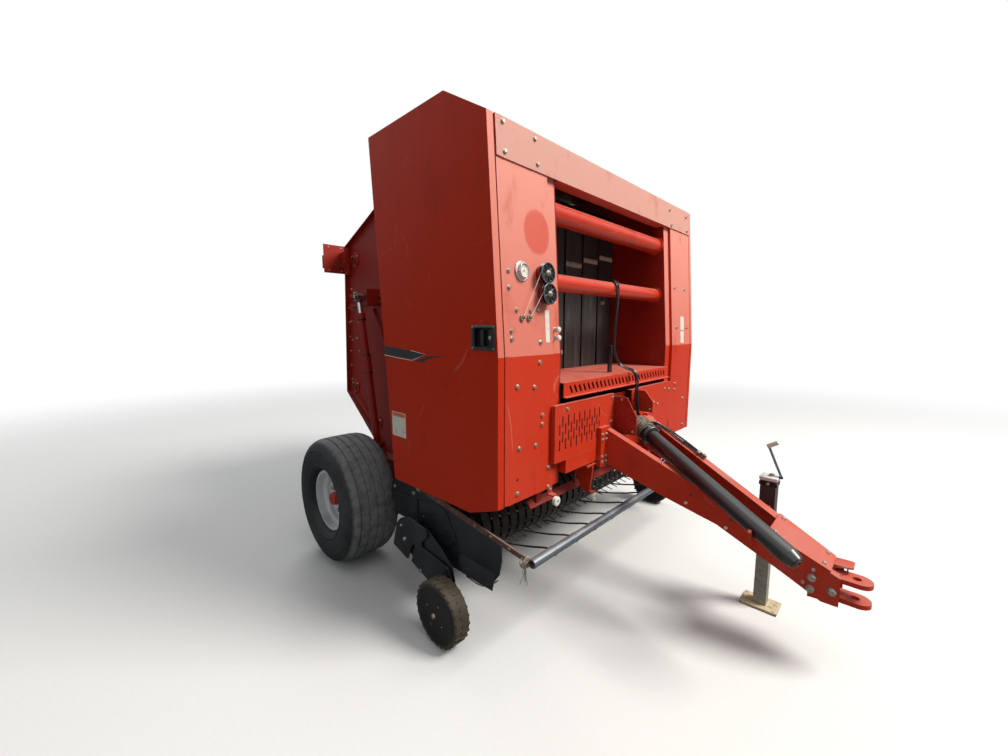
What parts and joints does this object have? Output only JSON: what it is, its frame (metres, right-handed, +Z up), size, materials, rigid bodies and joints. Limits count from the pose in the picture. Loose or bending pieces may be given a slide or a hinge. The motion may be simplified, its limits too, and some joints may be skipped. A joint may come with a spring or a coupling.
{
  "type": "round baler",
  "caption": "Towed round baler with a belt chamber and lifting tailgate, a tined pickup with gauge wheels, hinged side shields, a driveshaft and a tongue that stands on its jack.",
  "frame": {"origin": "middle of the bounding box in plan, on the ground", "axes": "+X forward to the hitch, +Y to the left of travel, +Z up"},
  "size_m": [3.399, 2.444, 2.472],
  "materials": {
    "red_paint": "worn satin",
    "dark_red_paint": "worn matt",
    "charcoal_paint": "worn satin",
    "silver_paint": "worn satin",
    "dark_steel": "worn, dusty",
    "grey_steel": "worn, scratched",
    "rusty_steel": "rusty matt",
    "zinc_steel": "dull zinc",
    "chrome": "polished",
    "belt_rubber": "worn matt",
    "gauge_rubber": "worn matt",
    "dark_plastic": "dusty matt",
    "lamp_plastic": "dusty gloss",
    "tyre": "worn matt"
  },
  "bodies": {
    "frame": {"chamber_wall_right": "red_paint", "chamber_wall_left": "red_paint", "column_right": "red_paint", "column_left": "red_paint", "top_beam": "red_paint", "cross_tubes": "red_paint", "roof_sheet": "red_paint", "twine_shelf": "red_paint", "slotted_shields": "red_paint", "feed_bar": "red_paint", "tongue_rail_right": "red_paint", "tongue_rail_left": "red_paint", "tongue_plates": "red_paint", "hitch_clevis": "red_paint", "gearbox": "red_paint", "driveshaft_guard": "dark_plastic", "jack_tube": "dark_steel", "axle_beam": "red_paint", "frame_rails": "red_paint", "front_rollers": "dark_steel", "front_belts": "belt_rubber", "twine_fittings": "zinc_steel", "hydraulic_hose": "belt_rubber"},
    "tailgate": {"tailgate_side_right": "dark_red_paint", "tailgate_side_left": "dark_red_paint", "tailgate_beams": "dark_red_paint", "tailgate_rollers": "dark_steel", "tailgate_belts": "belt_rubber", "tailgate_lamps": "lamp_plastic"},
    "shield_right": {"shield_right": "red_paint"},
    "shield_left": {"shield_left": "red_paint"},
    "wheel_right": {"tyre_right": "tyre", "rim_right": "silver_paint"},
    "wheel_left": {"tyre_left": "tyre", "rim_left": "silver_paint"},
    "barrel_right": {"cylinder_barrel_right": "dark_red_paint"},
    "barrel_left": {"cylinder_barrel_left": "dark_red_paint"},
    "rod_right": {"cylinder_rod_right": "chrome"},
    "rod_left": {"cylinder_rod_left": "chrome"},
    "pickup": {"pickup_panels": "charcoal_paint", "pickup_strippers": "dark_steel"},
    "reel": {"pickup_reel": "dark_steel"},
    "windguard": {"windguard_tube": "grey_steel", "windguard_arms": "rusty_steel"},
    "gauge_wheel_right": {"gauge_wheel_right": "gauge_rubber"},
    "gauge_wheel_left": {"gauge_wheel_left": "gauge_rubber"},
    "jack_leg": {"jack_leg": "zinc_steel"}
  },
  "joints": [
    {"name": "tailgate_hinge", "type": "hinge", "parent": "frame", "child": "tailgate", "pos_m": [-0.3695, 0, 2.3], "axis": [0, 1, 0], "range_deg": [0, 50]},
    {"name": "barrel_swing_right", "type": "hinge", "parent": "frame", "child": "barrel_right", "pos_m": [-0.9695, -0.752, 0.64], "axis": [0, 1, 0], "range_deg": [-1, 0]},
    {"name": "rod_slide_right", "type": "slide", "parent": "barrel_right", "child": "rod_right", "axis": [-0.1809, 0, 0.9835], "range_m": [0, 0.842]},
    {"name": "barrel_swing_left", "type": "hinge", "parent": "frame", "child": "barrel_left", "pos_m": [-0.9695, 0.752, 0.64], "axis": [0, 1, 0], "range_deg": [-1, 0]},
    {"name": "rod_slide_left", "type": "slide", "parent": "barrel_left", "child": "rod_left", "axis": [-0.1809, 0, 0.9835], "range_m": [0, 0.842]},
    {"name": "shield_door_right", "type": "hinge", "parent": "frame", "child": "shield_right", "pos_m": [-0.2345, -0.985, 1.5], "axis": [0, 0, -1], "range_deg": [0, 90]},
    {"name": "shield_door_left", "type": "hinge", "parent": "frame", "child": "shield_left", "pos_m": [-0.2345, 0.985, 1.5], "axis": [0, 0, 1], "range_deg": [0, 90]},
    {"name": "wheel_spin_right", "type": "hinge", "parent": "frame", "child": "wheel_right", "pos_m": [-0.8395, -1.052, 0.394], "axis": [0, 1, 0], "continuous": true},
    {"name": "wheel_spin_left", "type": "hinge", "parent": "frame", "child": "wheel_left", "pos_m": [-0.8395, 1.052, 0.394], "axis": [0, 1, 0], "continuous": true},
    {"name": "pickup_lift", "type": "hinge", "parent": "frame", "child": "pickup", "pos_m": [-0.2895, 0, 0.56], "axis": [0, -1, 0], "range_deg": [0, 5]},
    {"name": "windguard_swing", "type": "hinge", "parent": "pickup", "child": "windguard", "pos_m": [-0.1045, 0, 0.628], "axis": [0, -1, 0], "range_deg": [0, 4]},
    {"name": "reel_spin", "type": "hinge", "parent": "pickup", "child": "reel", "pos_m": [0.0905, 0, 0.43], "axis": [0, 1, 0], "continuous": true},
    {"name": "gauge_wheel_spin_right", "type": "hinge", "parent": "pickup", "child": "gauge_wheel_right", "pos_m": [0.2445, -1.12, 0.155], "axis": [0, 1, 0], "continuous": true},
    {"name": "gauge_wheel_spin_left", "type": "hinge", "parent": "pickup", "child": "gauge_wheel_left", "pos_m": [0.2445, 1.12, 0.155], "axis": [0, 1, 0], "continuous": true},
    {"name": "jack_slide", "type": "slide", "parent": "frame", "child": "jack_leg", "axis": [0, 0, 1], "range_m": [-0.2, 0]}
  ],
  "couplings": [
    {"joint": "barrel_swing_right", "follows": "tailgate_hinge", "ratio": -0.0142},
    {"joint": "rod_slide_right", "follows": "tailgate_hinge", "m_per_rad": 0.9637},
    {"joint": "barrel_swing_left", "follows": "tailgate_hinge", "ratio": -0.0142},
    {"joint": "rod_slide_left", "follows": "tailgate_hinge", "m_per_rad": 0.9637}
  ]
}
